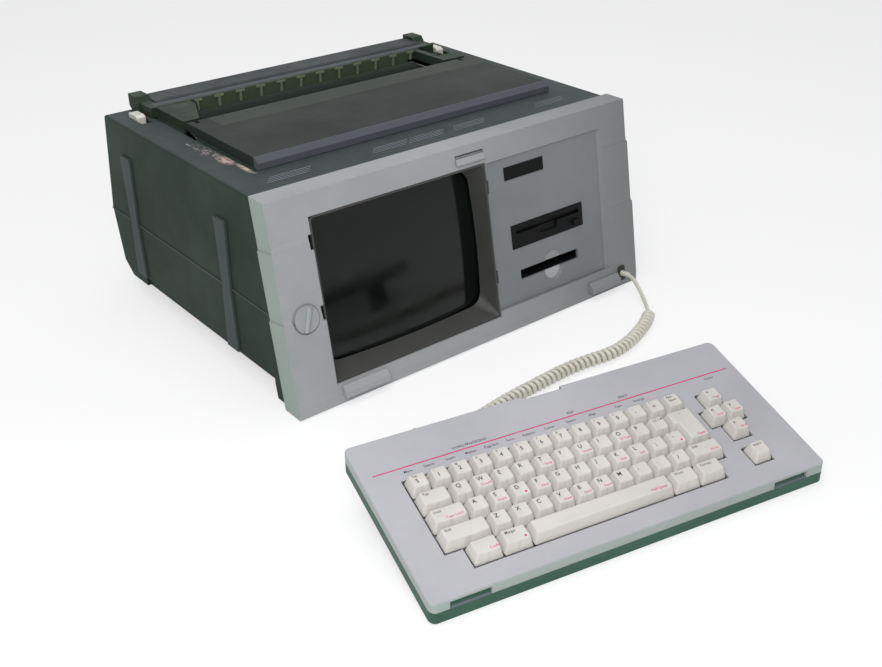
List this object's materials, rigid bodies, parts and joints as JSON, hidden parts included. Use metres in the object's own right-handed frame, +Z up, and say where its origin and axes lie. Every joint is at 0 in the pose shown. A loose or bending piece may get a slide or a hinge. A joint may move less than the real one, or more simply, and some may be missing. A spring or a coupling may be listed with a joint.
{
  "type": "electronic word processor",
  "caption": "Luggable word processor with a built-in picture tube, disk and cartridge slots, a daisy-wheel printer under a lid, and a separate keyboard on a curly lead.",
  "frame": {"origin": "on the desk, under the middle of the whole set's box (case and keyboard, without the lead)", "axes": "+X to the user's right, +Y from the keyboard to the back of the case, +Z up"},
  "size_m": [0.5326, 0.751, 0.223],
  "materials": {
    "light_shell": "fine texture, slightly aged",
    "dark_shell": "fine texture, scuffed",
    "cover_shell": "fine texture, scuffed",
    "surround": "smooth matte",
    "screen_glass": "dark glossy glass",
    "black_trim": "satin",
    "white_lever": "satin",
    "rubber": "matte",
    "steel": "brushed",
    "zinc_sheet": "zinc plated",
    "circuit": "solder resist",
    "copper_winding": "varnished wire",
    "nylon": "satin",
    "platen_rubber": "ground smooth",
    "keyboard_shell": "fine texture",
    "keyboard_pan": "fine texture",
    "keycap": "satin",
    "cord_jacket": "satin vinyl"
  },
  "bodies": {
    "case": {"front_bezel": "light_shell", "drive_panel": "light_shell", "screen_surround": "surround", "upper_case": "dark_shell", "lower_case": "dark_shell", "paper_table": "dark_shell", "rubber_feet": "rubber", "case_screws": "steel", "picture_tube": "screen_glass", "deflection_yoke": "copper_winding", "display_board": "circuit", "front_catches": "light_shell", "badge_plate": "black_trim", "floppy_drive": "zinc_sheet", "floppy_bezel": "black_trim", "cartridge_socket": "black_trim", "main_board": "circuit", "power_supply": "zinc_sheet", "power_inlet": "black_trim", "printer_frame": "zinc_sheet", "carriage_rails": "steel", "feed_motor": "zinc_sheet", "carriage_motor": "zinc_sheet", "carriage_belt": "rubber", "unit_cord_gland": "black_trim", "keyboard_cord": "cord_jacket"},
    "printer_cover": {"printer_cover": "cover_shell"},
    "paper_support": {"paper_support": "dark_shell"},
    "platen": {"platen": "platen_rubber", "platen_knob": "black_trim", "platen_gear": "nylon"},
    "feed_pinion": {"feed_pinion": "nylon"},
    "carriage": {"carriage": "black_trim", "ribbon_cartridge": "black_trim"},
    "print_wheel": {"print_wheel": "nylon"},
    "belt_pulley": {"belt_pulley": "nylon"},
    "power_switch": {"power_switch": "black_trim"},
    "brightness_knob": {"brightness_knob": "light_shell"},
    "keyboard_latch": {"keyboard_latch": "light_shell"},
    "disk_door": {"disk_door": "black_trim"},
    "eject_button": {"eject_button": "black_trim"},
    "paper_release_lever": {"paper_release_lever": "white_lever"},
    "copy_control_lever": {"copy_control_lever": "white_lever"},
    "keyboard": {"keyboard_top": "keyboard_shell", "keyboard_base": "keyboard_pan", "switch_plate": "black_trim", "keyboard_circuit": "circuit", "keyboard_feet": "rubber", "keyboard_cord_gland": "black_trim"},
    "left_leg": {"left_leg": "keyboard_pan"},
    "right_leg": {"right_leg": "keyboard_pan"},
    "number_row_keys": {"number_row_keys": "keycap"},
    "upper_row_keys": {"upper_row_keys": "keycap"},
    "home_row_keys": {"home_row_keys": "keycap"},
    "lower_row_keys": {"lower_row_keys": "keycap"},
    "shift_keys": {"shift_keys": "keycap"},
    "space_bar": {"space_bar": "keycap"},
    "return_key": {"return_key": "keycap"},
    "function_keys": {"function_keys": "keycap"},
    "cursor_keys": {"cursor_keys": "keycap"}
  },
  "joints": [
    {"name": "cover_hinge", "type": "hinge", "parent": "case", "child": "printer_cover", "pos_m": [0.03547, 0.23858, 0.211], "axis": [-1, 0, 0], "range_deg": [0, 70]},
    {"name": "paper_support_hinge", "type": "hinge", "parent": "case", "child": "paper_support", "pos_m": [0.03547, 0.35558, 0.21645], "axis": [-1, 0, 0], "range_deg": [0, 105]},
    {"name": "platen_turn", "type": "hinge", "parent": "case", "child": "platen", "pos_m": [0.03547, 0.29258, 0.194], "axis": [1, 0, 0], "continuous": true},
    {"name": "pinion_turn", "type": "hinge", "parent": "case", "child": "feed_pinion", "pos_m": [-0.13853, 0.29258, 0.1791], "axis": [1, 0, 0], "continuous": true},
    {"name": "carriage_travel", "type": "slide", "parent": "case", "child": "carriage", "axis": [1, 0, 0], "range_m": [-0.115, 0.115]},
    {"name": "print_wheel_turn", "type": "hinge", "parent": "carriage", "child": "print_wheel", "pos_m": [0.02647, 0.27258, 0.164], "axis": [0, 1, 0], "continuous": true},
    {"name": "belt_pulley_turn", "type": "hinge", "parent": "case", "child": "belt_pulley", "pos_m": [-0.11453, 0.18608, 0.148], "axis": [0, 1, 0], "continuous": true},
    {"name": "power_rocker", "type": "hinge", "parent": "case", "child": "power_switch", "pos_m": [0.18547, 0.36617, 0.06453], "axis": [1, 0, 0], "range_deg": [-6, 6]},
    {"name": "brightness_turn", "type": "hinge", "parent": "case", "child": "brightness_knob", "pos_m": [-0.17063, 0.00412, 0.09542], "axis": [0, -0.9852, 0.1711], "range_deg": [-150, 120]},
    {"name": "latch_slide", "type": "slide", "parent": "case", "child": "keyboard_latch", "axis": [0, 0.1711, 0.9852], "range_m": [0, 0.003], "stiffness_N_per_m": 300, "springref_m": -0.003},
    {"name": "disk_door_hinge", "type": "hinge", "parent": "case", "child": "disk_door", "pos_m": [0.13872, 0.01348, 0.10486], "axis": [1, 0, 0], "range_deg": [0, 80], "stiffness_Nm_per_rad": 0.002, "springref_deg": -11.46},
    {"name": "eject_press", "type": "slide", "parent": "case", "child": "eject_button", "axis": [0, 0.9852, -0.1711], "range_m": [0, 0.0025], "stiffness_N_per_m": 300, "springref_m": -0.003},
    {"name": "paper_release_swing", "type": "hinge", "parent": "case", "child": "paper_release_lever", "pos_m": [0.23897, 0.31958, 0.15], "axis": [1, 0, 0], "range_deg": [0, 9]},
    {"name": "copy_control_swing", "type": "hinge", "parent": "case", "child": "copy_control_lever", "pos_m": [-0.16803, 0.31958, 0.15], "axis": [1, 0, 0], "range_deg": [0, 9]},
    {"name": "keyboard_move", "type": "slide", "parent": "case", "child": "keyboard", "axis": [-0.2083, -0.9781, 0], "range_m": [0, 0.1]},
    {"name": "left_leg_fold", "type": "hinge", "parent": "keyboard", "child": "left_leg", "pos_m": [-0.15838, -0.17042, 0.03939], "axis": [-0.9781, 0.2083, 0], "range_deg": [0, 90]},
    {"name": "right_leg_fold", "type": "hinge", "parent": "keyboard", "child": "right_leg", "pos_m": [0.05347, -0.21552, 0.03939], "axis": [-0.9781, 0.2083, 0], "range_deg": [0, 90]},
    {"name": "number_row_press", "type": "slide", "parent": "keyboard", "child": "number_row_keys", "axis": [0.0492, 0.2309, -0.9717], "range_m": [0, 0.003], "stiffness_N_per_m": 200, "springref_m": -0.003},
    {"name": "upper_row_press", "type": "slide", "parent": "keyboard", "child": "upper_row_keys", "axis": [0.0492, 0.2309, -0.9717], "range_m": [0, 0.003], "stiffness_N_per_m": 200, "springref_m": -0.003},
    {"name": "home_row_press", "type": "slide", "parent": "keyboard", "child": "home_row_keys", "axis": [0.0492, 0.2309, -0.9717], "range_m": [0, 0.003], "stiffness_N_per_m": 200, "springref_m": -0.003},
    {"name": "lower_row_press", "type": "slide", "parent": "keyboard", "child": "lower_row_keys", "axis": [0.0492, 0.2309, -0.9717], "range_m": [0, 0.003], "stiffness_N_per_m": 200, "springref_m": -0.003},
    {"name": "shift_press", "type": "slide", "parent": "keyboard", "child": "shift_keys", "axis": [0.0492, 0.2309, -0.9717], "range_m": [0, 0.003], "stiffness_N_per_m": 200, "springref_m": -0.003},
    {"name": "space_bar_press", "type": "slide", "parent": "keyboard", "child": "space_bar", "axis": [0.0492, 0.2309, -0.9717], "range_m": [0, 0.003], "stiffness_N_per_m": 200, "springref_m": -0.003},
    {"name": "return_press", "type": "slide", "parent": "keyboard", "child": "return_key", "axis": [0.0492, 0.2309, -0.9717], "range_m": [0, 0.003], "stiffness_N_per_m": 200, "springref_m": -0.003},
    {"name": "function_press", "type": "slide", "parent": "keyboard", "child": "function_keys", "axis": [0.0492, 0.2309, -0.9717], "range_m": [0, 0.003], "stiffness_N_per_m": 200, "springref_m": -0.003},
    {"name": "cursor_press", "type": "slide", "parent": "keyboard", "child": "cursor_keys", "axis": [0.0492, 0.2309, -0.9717], "range_m": [0, 0.003], "stiffness_N_per_m": 200, "springref_m": -0.003}
  ],
  "couplings": [
    {"joint": "pinion_turn", "follows": "platen_turn", "ratio": -2.0833},
    {"joint": "belt_pulley_turn", "follows": "carriage_travel", "rad_per_m": -116.28}
  ]
}
